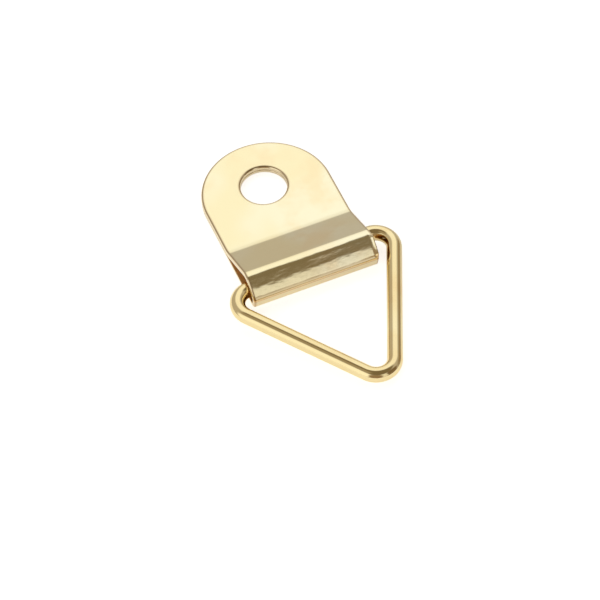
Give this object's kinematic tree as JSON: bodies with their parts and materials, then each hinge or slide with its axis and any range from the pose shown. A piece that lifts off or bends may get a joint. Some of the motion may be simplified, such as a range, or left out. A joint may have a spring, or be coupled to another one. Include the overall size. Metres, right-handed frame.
{
  "type": "picture frame strap hanger",
  "caption": "Metal strap folded over the crossbar of a triangular wire ring, with a screw hole through both leaves, for hanging a small picture frame.",
  "frame": {"origin": "centre of the screw hole, on the strap's back face", "axes": "+Z out of the front face along the screw hole, +Y from the screw hole towards the rounded end, so the ring hangs towards -Y"},
  "size_m": [0.0167, 0.0294, 0.0028],
  "materials": {
    "strap_plating": "polished",
    "ring_plating": "polished"
  },
  "bodies": {
    "strap": {"folded_strap": "strap_plating"},
    "ring": {"triangle_ring": "ring_plating"}
  },
  "joints": [
    {"name": "ring_swing", "type": "hinge", "parent": "strap", "child": "ring", "pos_m": [0, -0.01, 0.00115], "axis": [-0.9936, -0.1132, 0], "range_deg": [-145, 170]}
  ]
}
